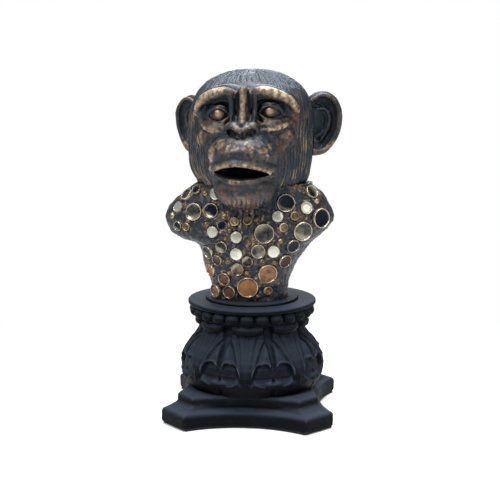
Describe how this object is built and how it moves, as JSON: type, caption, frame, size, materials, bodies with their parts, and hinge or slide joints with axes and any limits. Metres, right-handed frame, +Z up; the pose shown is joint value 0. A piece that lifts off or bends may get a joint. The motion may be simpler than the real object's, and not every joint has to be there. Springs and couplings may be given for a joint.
{
  "type": "monkey figurine",
  "caption": "Ape bust ornament with a chest set with small round discs, standing on a round leaf-carved pedestal with a bead course and a flared square plinth.",
  "frame": {"origin": "centre of the felt's underside, on the surface the ornament stands on", "axes": "+Z up, the face looks along -Y, +X to the viewer's right"},
  "size_m": [0.1537, 0.148, 0.301],
  "materials": {
    "pedestal_resin": "matte charcoal paint on cast resin",
    "bust_resin": "charcoal paint rubbed with gold on the high places",
    "eye_resin": "dark paint with a gold iris",
    "disc_bronze": "aged bronze with rubbed rims",
    "disc_mirror": "polished, slightly warm",
    "disc_gold": "rubbed gold",
    "felt": "black felt"
  },
  "bodies": {
    "root": {"foot_felt": "felt", "plinth": "pedestal_resin", "leaf_drum": "pedestal_resin", "bead_course": "pedestal_resin", "cap": "pedestal_resin", "torso": "bust_resin", "head": "bust_resin", "left_ear": "bust_resin", "right_ear": "bust_resin", "left_eye": "eye_resin", "right_eye": "eye_resin", "wide_cups": "disc_bronze", "large_cups": "disc_bronze", "medium_cups": "disc_bronze", "small_cups": "disc_bronze", "mirror_discs": "disc_mirror", "washers": "disc_gold", "studs": "disc_gold"}
  },
  "joints": []
}
